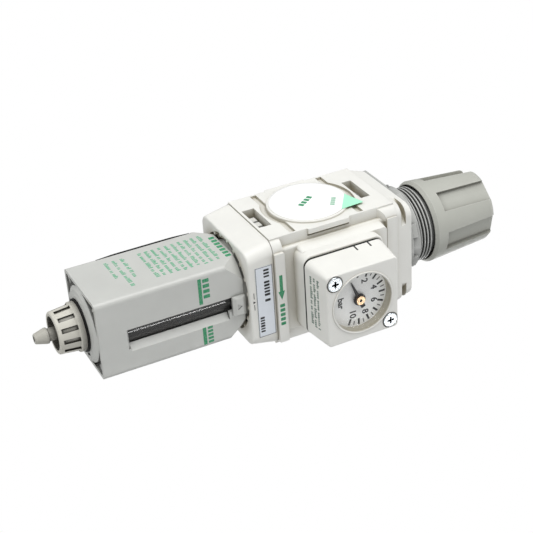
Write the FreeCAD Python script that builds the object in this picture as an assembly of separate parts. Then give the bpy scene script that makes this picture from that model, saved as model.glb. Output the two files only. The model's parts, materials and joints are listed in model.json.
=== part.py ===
"""Filter regulator, quarter-inch ports, 40 mm from port face to port face.

One sub-part per STEP file.  Everything is modelled about the stem axis (the
line through the knob, the valve and the bowl) and moved along +X at the end,
so that the origin of the finished part is the centre of the inlet port mouth.
+Z points up towards the adjusting knob, the gauge faces -Y, air enters at -X.
"""
import FreeCAD, Part
import math
import os

V = FreeCAD.Vector
Z_AXIS = V(0, 0, 1)

# ---- driving dimensions, mm ------------------------------------------------
PORT_SPAN = 40.0                  # port face to port face
STEM_X = PORT_SPAN / 2            # the stem axis in the finished part
PORT_R = 5.75                     # minor radius of a quarter-inch pipe thread
PORT_DEPTH = 10.0
PORT_CHAMFER = 0.5
CLEAR = 0.05                      # running clearance on a radius
GAP = 0.3                         # free space between parts that only pass by

# body and its flanges
CORE_HALF_X = 15.6
CORE_HALF_Y = 16.4
FRAME_HALF_X = 18.9               # flared covers at their seams
FRAME_HALF_Y = 17.3
FLANGE_HALF_X = 19.1
SIDE_X = 19.3                     # face of the side plates that carry the ports
SIDE_HALF_Y = 15.0
RIM_HALF_X = 17.0                 # outer rims of both flared covers
CORNER_R = 4.0
SEAM_LOW = -21.6
STRIP_TOP = -18.2
STRIP_Y = -18.5
FLANGE_LOW = 19.3
GUSSET_LOW = 17.2
SEAM_HIGH = 23.4
COVER_TOP = 29.5
COVER_SLOT = (25.2, 27.0)          # slots round the front corners of the bonnet cover
COVER_SLOT_R = 20.3
COLLAR_LOW = -30.6
PORT_BOSS_R = 13.6
GROOVE_X = 18.4                   # floor of the groove round the port boss
GROOVE_WIDTH = 2.1
LUG_LOW = -11.8                   # the port boss grows into a lug on each side
LUG_HIGH = 10.6
LIP_LOW = -8.1
LIP_HIGH = 6.9
LIP_X = 17.6
LIP_HALF_Y = 15.9
UNDERCUT_Y = 14.4                 # the lip stands free outside this
POCKET_X = 15.2                   # floor of the module joint pockets
POCKET_HALF_Y = 6.5
POCKET_LOW = (-20.7, -16.4)
POCKET_HIGH = (16.4, 19.8)
BOSS_HALF = 14.5                  # square boss under the gauge
BOSS_Y = 23.3
SHOULDER_Y = 20.0
REAR_BOSS_Y = 19.0
GAUGE_BORE_R = 4.2

# inside the body
BOWL_CAVITY_R = 12.6
CAVITY_TOP = -16.0
INLET_DROP_X = -10.8              # inlet air falls from the port to the bowl here
INLET_DROP_R = 1.9
STEM_BORE_R = 5.5
VALVE_SEAT_Z = 2.0
SEAT_THICK = 2.0
OUTLET_ROOM_TOP = 9.0
DIAPHRAGM_R = 15.0
DIAPHRAGM_THICK = 0.8
SENSING_ROOM_R = 12.8
SENSING_ROOM_Z = 17.5
ROD_R = 1.2
GUIDE_R = 1.5                     # lower stem of the poppet
GUIDE_LOW = -10.0
GUIDE_TOP = -8.0
POPPET_R = 4.0
PLATE_R = 9.0                     # cupped plate on the diaphragm
RIVET_R = 1.8

# bonnet, spring, screw and knob
SPRING_ROOM_R = 9.2
BASE_PLATE_R = 16.2
BASE_PLATE_TOP = 30.8
BASE_RING_R = 14.6
THREAD_R = 13.0
THREAD_DEPTH = 0.9
THREAD_PITCH = 1.25
THREAD_LOW = 35.0
THREAD_TURNS = 4
NECK_LOW = 43.0
NECK_R = 10.2
CAP_LOW = 54.0
CAP_TOP = 56.5
SCREW_R = 3.5
SCREW_LOW = 36.0
FLANGE_R = 5.2                    # collar of the adjusting screw under the cap
SCREW_HEX_TOP = 61.6
SEAT_LOW = 44.0
SEAT_R = 8.9
KNOB_LOW = 40.8
KNOB_TOP = 65.6
KNOB_R_LOW = 14.4
KNOB_R_TOP = 12.7
KNOB_BORE_R = 13.2
KNOB_BORE_TOP = 44.3
FLUTES = 6
FLUTE_WIDTH = 7.2
FLUTE_DEPTH = 1.8
FLUTE_LOW = 45.6
FLUTE_PHASE = 40.7
HEX_FLATS = 7.0

# pressure gauge
GAUGE_BACK_Y = -24.1
GAUGE_FRONT_Y = -35.4
GAUGE_BACK_HALF_X = 13.7
GAUGE_BACK_HALF_Z = 14.1
GAUGE_FRONT_HALF = 12.8
GAUGE_CORNER_BACK = 2.6
GAUGE_CORNER_FRONT = 1.2
GAUGE_Z = -0.2
DIAL_R = 10.2
DIAL_Y = -32.3
ZERO_CLOCK = -112.5               # clock angle of the zero mark, seen from the front
SCREW_OFFSET = 9.7
SCREW_HEAD_R = 2.5
SCREW_SHANK_R = 1.4
POINTER_BOSS_R = 2.05
HUB_R = 1.5
SCREW_HOLE_R = 1.5

# bowl guard, bowl and filter
GUARD_HALF = 13.6
GUARD_LOW = -79.9
GUARD_TOP = -31.0
GUARD_WALL = 1.2
GUARD_SHOULDER = ((25.0, -40.0), (18.9, -37.0), (15.4, GUARD_TOP))   # (radius, z)
GUARD_SHOULDER_INSIDE = ((24.0, -40.5), (17.4, -37.8), (14.2, -32.3))
GUARD_NECK_R = 13.3
GUARD_NECK_TOP = -24.6
NECK_BORE_R = 11.9
LUG_R = 14.9
BAYONET_LOW = -27.6
BAYONET_TOP = -25.6
COLLAR_BORE_R = 13.8
RACE_R = 15.3
RACE_LOW = -28.2
RACE_TOP = -24.0
MOUTH_R = 16.4                    # toothed recess in the mouth of the collar
MOUTH_HALF = 15.9
SLOT_X = 1.3                      # middle of the sight slot
SLOT_HALF = 3.25
SLOT_LOW = -70.0
SLOT_BEVEL_TOP = -36.4
SLOT_LIP_Y = -11.3                # the sloping lip of the slot reaches in to here
SLOT_LIP_OUT = 6.0                # lip edge on the guard's face
SLOT_LIP_IN = 4.1
BUTTON_LOW = -35.4
BOWL_R = 11.6
BOWL_WALL = 1.7
BOWL_TOP = -19.0
BOWL_LOW = -76.6
BOWL_SHOULDER = -24.0             # the bowl widens above this level
BOWL_HEAD_R = 12.2
SPIGOT_LOW = -80.6
SPIGOT_R = 4.9
SEAL_RING_Z = -20.7
DOME_LOW = -81.0
DOME_R = 12.6
ELEMENT_R = 7.6
ELEMENT_BORE_R = 4.6
ELEMENT_LOW = -44.0
ELEMENT_TOP = -18.0
BAFFLE_R = 9.4
BAFFLE_LOW = -24.0
TIE_ROD_R = 1.6
TIE_ROD_TOP = -11.4

# drain
DRAIN_LOW = -90.0
DRAIN_TOP = -81.7
DRAIN_R_LOW = 6.9
DRAIN_R_TOP = 8.1
DRAIN_GROOVES = 12
DRAIN_GROOVE_WIDTH = 1.5
DRAIN_GROOVE_DEPTH = 0.6
DRAIN_STEM_R = 2.3
NIPPLE_TIP = -96.2
BARB_R = 2.6
BARB_LOW = -92.6
BARB_TOP = -92.0
NIPPLE_R = 2.1


# ---- shape helpers -----------------------------------------------------------
def box(x0, x1, y0, y1, z0, z1):
    return Part.makeBox(x1 - x0, y1 - y0, z1 - z0, V(x0, y0, z0))


def cyl(radius, z0, z1, x=0.0, y=0.0):
    return Part.makeCylinder(radius, z1 - z0, V(x, y, z0))


def cyl_x(radius, x0, x1, y=0.0, z=0.0):
    return Part.makeCylinder(radius, x1 - x0, V(x0, y, z), V(1, 0, 0))


def cyl_y(radius, y0, y1, x=0.0, z=0.0):
    return Part.makeCylinder(radius, y1 - y0, V(x, y0, z), V(0, 1, 0))


def turned(points):
    """A solid of revolution about the stem axis from (radius, z) points."""
    ring = [V(r, 0, z) for r, z in points]
    face = Part.Face(Part.makePolygon(ring + ring[:1]))
    return face.revolve(V(0, 0, 0), Z_AXIS, 360)


def rounded_wire(half_u, half_v, radius, place):
    """A rounded rectangle; place(u, v) gives the 3-D point of a flat one."""
    edges = []
    corners = [(1, 1, 0), (-1, 1, 90), (-1, -1, 180), (1, -1, 270)]
    arcs = []
    for su, sv, start in corners:
        cu = su * (half_u - radius)
        cv = sv * (half_v - radius)
        arcs.append([
            place(cu + radius * math.cos(math.radians(start + a)),
                  cv + radius * math.sin(math.radians(start + a)))
            for a in (0, 45, 90)])
    for i, arc in enumerate(arcs):
        edges.append(Part.Arc(*arc).toShape())
        edges.append(Part.LineSegment(arc[2], arcs[(i + 1) % 4][0]).toShape())
    return Part.Wire(edges)


def on_z(z, x=0.0, y=0.0):
    return lambda u, v: V(x + u, y + v, z)


def on_y(y, x=0.0, z=0.0):
    return lambda u, v: V(x + u, y, z + v)


def on_x(x, y=0.0, z=0.0):
    return lambda u, v: V(x, y + u, z + v)


def block(half_u, half_v, radius, plane, low, high, **middle):
    """A straight block with four rounded edges between two parallel planes."""
    wires = [rounded_wire(half_u, half_v, radius, plane(level, **middle)) for level in (low, high)]
    return Part.makeLoft(wires, True, True)


def flared(low, high, radii, plane, level_low, level_high, **middle):
    """A block whose half sizes and corner radii change from low to high."""
    wires = [rounded_wire(low[0], low[1], radii[0], plane(level_low, **middle)),
             rounded_wire(high[0], high[1], radii[1], plane(level_high, **middle))]
    return Part.makeLoft(wires, True, True)


def union(shapes):
    shapes = list(shapes)
    if len(shapes) == 1:
        return shapes[0]
    return shapes[0].multiFuse(shapes[1:]).removeSplitter()


def turned_copy(shape, angle):
    copy = shape.copy()
    copy.rotate(V(0, 0, 0), Z_AXIS, angle)
    return copy


def polar(shape, count, phase=0.0):
    return [turned_copy(shape, phase + 360.0 * i / count) for i in range(count)]


def mirrored_x(shape):
    return shape.mirror(V(0, 0, 0), V(1, 0, 0))


def both_sides(shape):
    return [shape, mirrored_x(shape)]


def prism(points, depth):
    """A polygon of 3-D points pushed out along a vector."""
    return Part.Face(Part.makePolygon(points + points[:1])).extrude(depth)


def hexagon(flats, z0, z1):
    corner = flats / math.sqrt(3)
    points = [V(corner * math.cos(math.radians(60 * i)), corner * math.sin(math.radians(60 * i)), z0)
              for i in range(6)]
    return prism(points, V(0, 0, z1 - z0))


def coil(radius, wire, z0, z1, turns):
    """A round-wire compression spring between two planes."""
    height = z1 - z0 - 2 * wire
    path = Part.makeHelix(height / turns, height, radius)
    path.translate(V(0, 0, z0 + wire))
    section = Part.Wire(Part.makeCircle(wire, V(radius, 0, z0 + wire), V(0, 1, 0)))
    return Part.Wire(path).makePipeShell([section], True, True)


def softened(shape, radius, pick):
    """Fillet the edges that pick(edge) chooses."""
    return shape.makeFillet(radius, [e for e in shape.Edges if pick(e)])


def lies_at(axis, value):
    """Choose the edges that lie wholly in one plane."""
    def pick(edge):
        bounds = edge.BoundBox
        low, high = {"x": (bounds.XMin, bounds.XMax), "y": (bounds.YMin, bounds.YMax),
                     "z": (bounds.ZMin, bounds.ZMax)}[axis]
        return abs(low - value) < 1e-3 and abs(high - value) < 1e-3
    return pick


def corner_holes(radius, y0, y1):
    """The two screw holes on one diagonal of the gauge or the blanking plate."""
    return [cyl_y(radius, y0, y1, x=side * SCREW_OFFSET, z=GAUGE_Z + side * SCREW_OFFSET) for side in (-1, 1)]


# ---- body ------------------------------------------------------------------
def side_plate():
    """The outlet side: port boss with its lug and lip, set off from the plate by a groove."""
    plate = box(CORE_HALF_X - 1, SIDE_X, -SIDE_HALF_Y, SIDE_HALF_Y, SEAM_LOW, SEAM_HIGH)
    raised = union([cyl_x(PORT_BOSS_R, GROOVE_X, PORT_SPAN),
                    box(GROOVE_X, PORT_SPAN, -PORT_SPAN, PORT_SPAN, LUG_LOW, LUG_HIGH)])
    around = union([cyl_x(PORT_BOSS_R + GROOVE_WIDTH, GROOVE_X, PORT_SPAN),
                    box(GROOVE_X, PORT_SPAN, 0.7 - SIDE_HALF_Y, SIDE_HALF_Y - 0.7,
                        LUG_LOW - GROOVE_WIDTH, LUG_HIGH + GROOVE_WIDTH)])
    boss = softened(cyl_x(PORT_BOSS_R, 0, PORT_SPAN / 2), 0.5, lies_at("x", PORT_SPAN / 2))
    lip_middle = (LIP_LOW + LIP_HIGH) / 2
    lip_half = (LIP_HIGH - LIP_LOW) / 2
    lip = block(LIP_HALF_Y, lip_half, 0.6, on_x, LIP_X, SIDE_X, z=lip_middle)
    undercuts = [box(CORE_HALF_X + 1, LIP_X, *sorted((side * UNDERCUT_Y, side * LIP_HALF_Y)),
                     LIP_LOW, LIP_HIGH)
                 for side in (-1, 1)]
    return union([plate.cut(around.cut(raised)), boss, lip]).cut(Part.makeCompound(undercuts))


def gussets():
    """Sloped feet that carry the corners of the upper flange on the side plates."""
    feet = []
    for side in (-1, 1):
        foot = prism([V(CORE_HALF_X - 1, side * (SIDE_HALF_Y - 0.1), GUSSET_LOW),
                      V(CORE_HALF_X - 1, side * FRAME_HALF_Y, FLANGE_LOW + 0.1),
                      V(CORE_HALF_X - 1, side * (SIDE_HALF_Y - 0.1), FLANGE_LOW + 0.1)],
                     V(FLANGE_HALF_X - CORE_HALF_X + 1, 0, 0))
        feet.append(foot.common(flange(GUSSET_LOW, FLANGE_LOW + 0.1)))
    return [copy for foot in feet for copy in both_sides(foot)]


def flange(low, high):
    return block(FLANGE_HALF_X, FRAME_HALF_Y, CORNER_R, on_z, low, high)


def joint_pockets():
    """Pockets in the side plates that take the hooks of a module joint."""
    return [pocket for levels in (POCKET_LOW, POCKET_HIGH)
            for pocket in both_sides(box(POCKET_X, SIDE_X + 1, -POCKET_HALF_Y, POCKET_HALF_Y, *levels))]


def body():
    core = block(CORE_HALF_X, CORE_HALF_Y, 1.0, on_z, SEAM_LOW, SEAM_HIGH)
    front_boss = block(BOSS_HALF, BOSS_HALF - 0.1, 3.0, on_y, -BOSS_Y, 0, z=0.2)
    front_boss = softened(front_boss, 0.6, lies_at("y", -BOSS_Y))
    shoulder = flared((BOSS_HALF, 15.5), (CORE_HALF_X, 15.5), (1.2, 1.2), on_y,
                      -SHOULDER_Y, -SIDE_HALF_Y, z=2.5)
    rear_boss = block(BOSS_HALF, BOSS_HALF + 0.5, 3.0, on_y, 0, REAR_BOSS_Y, z=GAUGE_Z)
    shape = union([core, flange(SEAM_LOW, STRIP_TOP), flange(FLANGE_LOW, SEAM_HIGH), front_boss, shoulder,
                   rear_boss] + gussets() + both_sides(side_plate()))
    port_end = PORT_SPAN / 2
    cuts = joint_pockets()
    cuts += both_sides(cyl_x(PORT_R, port_end - PORT_DEPTH, port_end + 1))
    cuts += both_sides(Part.makeCone(PORT_R, PORT_R + PORT_CHAMFER, PORT_CHAMFER,
                                     V(port_end - PORT_CHAMFER, 0, 0), V(1, 0, 0)))
    cuts.append(cyl(BOWL_CAVITY_R, SEAM_LOW - 1, CAVITY_TOP))
    cuts.append(cyl(STEM_BORE_R, CAVITY_TOP - 1, VALVE_SEAT_Z + SEAT_THICK))
    cuts.append(cyl(STEM_BORE_R - 1.0, VALVE_SEAT_Z, OUTLET_ROOM_TOP))
    cuts.append(cyl(ROD_R + CLEAR, OUTLET_ROOM_TOP - 1, SENSING_ROOM_Z + 1))
    cuts.append(cyl(SENSING_ROOM_R, SENSING_ROOM_Z, SEAM_HIGH + 1))
    cuts.append(cyl(DIAPHRAGM_R, SEAM_HIGH - DIAPHRAGM_THICK, SEAM_HIGH + 1))
    # outlet passage, inlet drop, sensing hole and the passage to the gauge
    cuts.append(cyl_x(2.0, 0, port_end - PORT_DEPTH + 2, z=6.2))
    cuts.append(cyl(INLET_DROP_R, CAVITY_TOP - 1, -3.0, x=INLET_DROP_X))
    cuts.append(cyl(0.8, 3.0, SENSING_ROOM_Z + 1, x=11.0))
    cuts.append(cyl_y(1.6, -BOSS_Y - 1, 0, z=6.6))
    cuts.append(cyl_y(GAUGE_BORE_R, -BOSS_Y - 1, -BOSS_Y + 5, z=GAUGE_Z))
    cuts.append(cyl_y(GAUGE_BORE_R, REAR_BOSS_Y - 5, REAR_BOSS_Y + 1, z=GAUGE_Z))
    cuts += corner_holes(SCREW_SHANK_R, -BOSS_Y - 1, -BOSS_Y + 5.1)
    cuts += corner_holes(SCREW_SHANK_R, REAR_BOSS_Y - 4.1, REAR_BOSS_Y + 1)
    return shape.cut(Part.makeCompound(cuts))


def front_strips():
    """The facing strips on the two flanges, under and over the gauge."""
    strip_half = FRAME_HALF_X - 2.6
    facing_half = FRAME_HALF_X - 3.2
    strip = block(strip_half, (STRIP_TOP - SEAM_LOW) / 2, 0.4, on_y, STRIP_Y, -FRAME_HALF_Y,
                  x=1.0, z=(SEAM_LOW + STRIP_TOP) / 2)
    facing = block(facing_half, (SEAM_HIGH - FLANGE_LOW) / 2 - 0.1, 0.4, on_y, STRIP_Y + 0.6,
                   -FRAME_HALF_Y, z=(FLANGE_LOW + SEAM_HIGH) / 2)
    return Part.makeCompound([strip, facing])


def bowl_collar():
    """Flared lower cover with the bayonet race and a toothed mouth."""
    shape = flared((RIM_HALF_X, FRAME_HALF_Y), (FRAME_HALF_X, FRAME_HALF_Y), (CORNER_R, CORNER_R),
                   on_z, COLLAR_LOW, SEAM_LOW - 0.15)
    shape = softened(shape, 0.7, lies_at("z", COLLAR_LOW))
    entry = box(0, RACE_R, -3.2, 3.2, COLLAR_LOW - 1, RACE_LOW + 0.2)
    entry = entry.common(cyl(RACE_R, COLLAR_LOW - 1, RACE_TOP))
    mouth = cyl(MOUTH_R, COLLAR_LOW - 1, COLLAR_LOW + 1.3)
    mouth = mouth.common(block(MOUTH_HALF, MOUTH_HALF, 1.0, on_z, COLLAR_LOW - 1, RACE_LOW))
    teeth = polar(box(RACE_R, MOUTH_R + 1, -0.6, 0.6, COLLAR_LOW - 1, RACE_LOW), 20, 9)
    mouth = mouth.cut(Part.makeCompound(teeth))
    cuts = [mouth, cyl(COLLAR_BORE_R, COLLAR_LOW - 1, RACE_TOP), cyl(RACE_R, RACE_LOW, RACE_TOP),
            cyl(BOWL_CAVITY_R, RACE_TOP - 1, SEAM_LOW + 1)]
    return shape.cut(Part.makeCompound(cuts + polar(entry, 4, 45)))


def name_label():
    """A blank label in a shallow place on the collar front."""
    return block(12.8, 3.0, 0.3, on_y, -FRAME_HALF_Y - 0.15, -FRAME_HALF_Y, x=0.8, z=-25.3)


def bonnet_cover():
    """White square cover that clamps the diaphragm and carries the bonnet."""
    shape = flared((FRAME_HALF_X, FRAME_HALF_Y), (RIM_HALF_X, FRAME_HALF_Y - 0.5),
                   (CORNER_R, CORNER_R),
                   on_z, SEAM_HIGH, COVER_TOP)
    shape = softened(shape, 0.7, lies_at("z", COVER_TOP))
    corner_slots = box(-PORT_SPAN, PORT_SPAN, -PORT_SPAN, 0, *COVER_SLOT)
    corner_slots = corner_slots.cut(cyl(COVER_SLOT_R, COVER_SLOT[0] - 1, COVER_SLOT[1] + 1))
    return shape.cut(corner_slots).cut(cyl(SENSING_ROOM_R, SEAM_HIGH - 1, COVER_TOP + 1))


def thread_rings(radius, low, pitch, turns):
    """Grooves that leave trapezoidal ridges, as (radius, z) profile points."""
    points = []
    for i in range(turns):
        z = low + i * pitch
        points += [(radius - THREAD_DEPTH, z), (radius - THREAD_DEPTH, z + 0.25 * pitch),
                   (radius, z + 0.45 * pitch), (radius, z + 0.8 * pitch)]
    return points


def bonnet():
    """Spring housing: base plate on the cover, ring with lugs, thread and smooth neck."""
    thread_high = THREAD_LOW + THREAD_TURNS * THREAD_PITCH
    root_r = THREAD_R - THREAD_DEPTH
    outline = [(SPRING_ROOM_R, COVER_TOP), (BASE_PLATE_R, COVER_TOP), (BASE_PLATE_R, BASE_PLATE_TOP - 0.3),
               (BASE_PLATE_R - 0.3, BASE_PLATE_TOP), (BASE_RING_R, BASE_PLATE_TOP),
               (BASE_RING_R, THREAD_LOW - 0.7), (BASE_RING_R - 0.6, THREAD_LOW - 0.2)]
    outline += thread_rings(THREAD_R, THREAD_LOW, THREAD_PITCH, THREAD_TURNS)
    outline += [(root_r, thread_high), (root_r, NECK_LOW - 0.8), (NECK_R, NECK_LOW), (NECK_R, CAP_TOP - 0.8),
                (NECK_R - 0.8, CAP_TOP), (SCREW_R + 0.2, CAP_TOP), (SCREW_R + 0.2, CAP_LOW),
                (SPRING_ROOM_R, CAP_LOW)]
    plate = block(16.4, 8.3, 2.0, on_z, COVER_TOP, BASE_PLATE_TOP, y=8.3)
    plate = plate.cut(cyl(SPRING_ROOM_R, COVER_TOP - 1, BASE_PLATE_TOP + 1))
    locating_ring = cyl(SENSING_ROOM_R - CLEAR, COVER_TOP - 1.5, COVER_TOP).cut(
        cyl(SENSING_ROOM_R - 1.5, COVER_TOP - 2, COVER_TOP + 1))
    lug = box(BASE_RING_R - 0.5, BASE_RING_R + 0.8, -2.3, 2.3, BASE_PLATE_TOP - 0.5, THREAD_LOW - 2.0)
    return union([turned(outline), plate, locating_ring] + polar(lug, 8, 22.5))


# ---- regulator inside --------------------------------------------------------
def diaphragm():
    disc = cyl(DIAPHRAGM_R - CLEAR, SEAM_HIGH - DIAPHRAGM_THICK, SEAM_HIGH)
    return disc.cut(cyl(RIVET_R + 0.1, SEAM_HIGH - 2, SEAM_HIGH + 1))


def diaphragm_plate():
    """Cupped plate above the membrane, and the washer and rivet below it."""
    high = SEAM_HIGH + CLEAR
    top = turned([(0, high), (PLATE_R, high), (PLATE_R, high + 1.95), (PLATE_R - 0.7, high + 1.95),
                  (PLATE_R - 0.7, high + 1.15), (4.4, high + 1.15), (4.4, high + 3.35), (0, high + 3.35)])
    low = SEAM_HIGH - DIAPHRAGM_THICK - CLEAR
    washer = turned([(0, low - 1.4), (3.0, low - 1.4), (3.6, low - 0.9),
                     (PLATE_R - 1, low - 0.9), (PLATE_R - 1, low), (0, low)])
    rivet = cyl(RIVET_R, low - 0.2, SEAM_HIGH + 0.5)
    return union([top, washer, rivet]).cut(cyl(0.6, low - 2, SEAM_HIGH + 4))


def valve_rod():
    """Push rod, poppet and guide stem in one turned piece."""
    top = SEAM_HIGH - DIAPHRAGM_THICK - CLEAR - 1.4
    low = GUIDE_LOW + 0.8
    disc_top = VALVE_SEAT_Z - 0.5
    return turned([(0, low), (GUIDE_R, low), (GUIDE_R, disc_top - 3.0), (2.2, disc_top - 2.4),
                   (POPPET_R, disc_top - 2.4), (POPPET_R, disc_top), (ROD_R, disc_top),
                   (ROD_R, top - 0.5), (0.7, top), (0, top)])


def poppet_seal():
    disc = cyl(POPPET_R - 0.2, VALVE_SEAT_Z - 0.5, VALVE_SEAT_Z - CLEAR)
    return disc.cut(cyl(ROD_R, VALVE_SEAT_Z - 1, VALVE_SEAT_Z + 1))


def valve_seat():
    shape = cyl(STEM_BORE_R, VALVE_SEAT_Z, VALVE_SEAT_Z + SEAT_THICK)
    return shape.cut(cyl(2.7, VALVE_SEAT_Z - 1, VALVE_SEAT_Z + SEAT_THICK + 1))


def spring_retainer():
    """Guide for the poppet stem with holes that let the filtered air pass."""
    shape = cyl(STEM_BORE_R, GUIDE_LOW, GUIDE_TOP).cut(cyl(GUIDE_R + CLEAR, GUIDE_LOW - 1, GUIDE_TOP + 1))
    return shape.cut(Part.makeCompound(polar(cyl(0.9, GUIDE_LOW - 1, GUIDE_TOP + 1, x=3.6), 6)))


def spring_seat():
    """Nut on the screw that presses the spring, kept from turning by two keyways."""
    low = SEAT_LOW
    shape = turned([(SCREW_R + CLEAR, low), (SEAT_R, low), (SEAT_R, low + 2.2), (6.0, low + 2.8),
                    (6.0, low + 5.5), (SCREW_R + CLEAR, low + 5.5)])
    return shape.cut(Part.makeCompound(polar(box(SEAT_R - 0.7, SEAT_R + 1, -1, 1, low - 1, low + 4), 2)))


def regulating_spring():
    return coil(6.9, 0.8, SEAM_HIGH + CLEAR + 1.25, SEAT_LOW - CLEAR, 6)


def valve_spring():
    return coil(3.2, 0.35, GUIDE_TOP + CLEAR, VALVE_SEAT_Z - 0.5 - 2.4 - CLEAR, 5)


def adjusting_screw():
    """Screw hung under the bonnet cap by its collar, with a hexagon for the knob."""
    shoulder = CAP_TOP + 0.2
    shank = turned([(0, SCREW_LOW), (SCREW_R - 0.6, SCREW_LOW), (SCREW_R, SCREW_LOW + 0.6),
                    (SCREW_R, CAP_LOW - 1.4), (FLANGE_R, CAP_LOW - 1.4), (FLANGE_R, CAP_LOW - 0.3),
                    (SCREW_R, CAP_LOW - 0.3), (SCREW_R, shoulder), (0, shoulder)])
    return union([shank, hexagon(HEX_FLATS, shoulder, SCREW_HEX_TOP)])


def adjusting_knob():
    """Fluted knob, open below, that sits on the hexagon of the screw."""
    taper = (KNOB_R_LOW - KNOB_R_TOP) / (KNOB_TOP - KNOB_LOW)
    shape = turned([(0, KNOB_LOW), (KNOB_BORE_R + 0.3, KNOB_LOW), (KNOB_R_LOW, KNOB_LOW + 1.2),
                    (KNOB_R_TOP + taper, KNOB_TOP - 1.4), (KNOB_R_TOP - 0.4, KNOB_TOP - 0.4),
                    (KNOB_R_TOP - 1.4, KNOB_TOP), (0, KNOB_TOP)])
    floor_r = KNOB_R_LOW - FLUTE_DEPTH - taper * (FLUTE_LOW - KNOB_LOW)
    half = FLUTE_WIDTH / 2
    rise = KNOB_TOP + 1 - FLUTE_LOW
    flute = prism([V(floor_r, -half, FLUTE_LOW), V(KNOB_R_LOW + 2, -half, FLUTE_LOW),
                   V(KNOB_R_LOW + 2, -half, FLUTE_LOW + rise),
                   V(floor_r - taper * rise, -half, FLUTE_LOW + rise)], V(0, FLUTE_WIDTH, 0))
    shape = shape.cut(Part.makeCompound(polar(flute, FLUTES, FLUTE_PHASE)))
    sleeve_r = NECK_R + 0.35
    bore = turned([(0, KNOB_LOW - 1), (KNOB_BORE_R, KNOB_LOW - 1), (KNOB_BORE_R, KNOB_BORE_TOP),
                   (sleeve_r, KNOB_BORE_TOP + 1.1), (sleeve_r, CAP_TOP + 1.0),
                   (sleeve_r - 1.35, CAP_TOP + 2.2), (0, CAP_TOP + 2.2)])
    hub = cyl(6.0, CAP_TOP + 0.5, CAP_TOP + 3)
    shape = union([shape.cut(bore), hub])
    return shape.cut(hexagon(HEX_FLATS + 2 * CLEAR, CAP_TOP, SCREW_HEX_TOP + 0.6))


# ---- pressure gauge --------------------------------------------------------
def gauge_gasket():
    shape = block(GAUGE_BACK_HALF_X, GAUGE_BACK_HALF_Z, 2.6, on_y, GAUGE_BACK_Y, -BOSS_Y, z=GAUGE_Z)
    holes = corner_holes(SCREW_HOLE_R, GAUGE_BACK_Y - 1, -BOSS_Y + 1)
    holes.append(cyl_y(GAUGE_BORE_R, GAUGE_BACK_Y - 1, -BOSS_Y + 1, z=GAUGE_Z))
    return shape.cut(Part.makeCompound(holes))


def gauge_housing():
    """Square case of the gauge with a rim round its window and two counterbored screw holes."""
    outer = flared((GAUGE_FRONT_HALF, GAUGE_FRONT_HALF - 0.2), (GAUGE_BACK_HALF_X, GAUGE_BACK_HALF_Z),
                   (GAUGE_CORNER_FRONT, GAUGE_CORNER_BACK), on_y, GAUGE_FRONT_Y, GAUGE_BACK_Y, z=GAUGE_Z)
    outer = softened(outer, 0.5, lies_at("y", GAUGE_FRONT_Y))
    rim = Part.makeTorus(DIAL_R + 0.4, 0.32, V(0, GAUGE_FRONT_Y, GAUGE_Z), V(0, 1, 0))
    cuts = [cyl_y(DIAL_R, GAUGE_FRONT_Y - 1, DIAL_Y + 0.6, z=GAUGE_Z),
            cyl_y(DIAL_R - 1.2, DIAL_Y, -25.6, z=GAUGE_Z),
            cyl_y(GAUGE_BORE_R, -26, GAUGE_BACK_Y + 1, z=GAUGE_Z)]
    cuts += corner_holes(SCREW_HEAD_R + 0.3, GAUGE_FRONT_Y - 1, GAUGE_FRONT_Y + 0.9)
    cuts += corner_holes(SCREW_HOLE_R, GAUGE_FRONT_Y - 1, GAUGE_BACK_Y + 1)
    return union([outer, rim]).cut(Part.makeCompound(cuts))


def cross_recess(y_face, x, z, sign):
    """Cross slot of a Phillips head; sign is the way the head faces along Y."""
    y0, y1 = sorted((y_face - sign * 1.6, y_face + sign * 0.5))
    arm = 1.2
    half = 0.33
    cross = union([box(-arm, arm, y0, y1, -half, half), box(-half, half, y0, y1, -arm, arm)])
    cross.translate(V(x, 0, z))
    return cross


def plate_screws(face_y, tip_y, z_middle):
    """Two pan-head screws on one diagonal of a square plate."""
    sign = -1 if face_y < tip_y else 1
    screws = []
    for side in (-1, 1):
        x = side * SCREW_OFFSET
        z = z_middle + side * SCREW_OFFSET
        proud = face_y + sign * 0.35
        head = cyl_y(SCREW_HEAD_R, *sorted((face_y - sign * 0.9, proud)), x=x, z=z)
        head = softened(head, 0.3, lies_at("y", proud))
        shank = cyl_y(SCREW_SHANK_R, *sorted((face_y - sign * 0.5, tip_y)), x=x, z=z)
        screws.append(union([head, shank]).cut(cross_recess(proud, x, z, sign)))
    return Part.makeCompound(screws)


def gauge_screws():
    return plate_screws(GAUGE_FRONT_Y, -BOSS_Y + 5.0, GAUGE_Z)


def blanking_screws():
    return plate_screws(REAR_BOSS_Y + 3.6, REAR_BOSS_Y - 4.0, GAUGE_Z)


def gauge_dial():
    return cyl_y(DIAL_R, DIAL_Y, DIAL_Y + 0.5, z=GAUGE_Z).cut(cyl_y(0.8, DIAL_Y - 1, DIAL_Y + 1, z=GAUGE_Z))


def gauge_lens():
    return cyl_y(DIAL_R - 0.05, GAUGE_FRONT_Y + 0.15, GAUGE_FRONT_Y + 0.95, z=GAUGE_Z)


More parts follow.
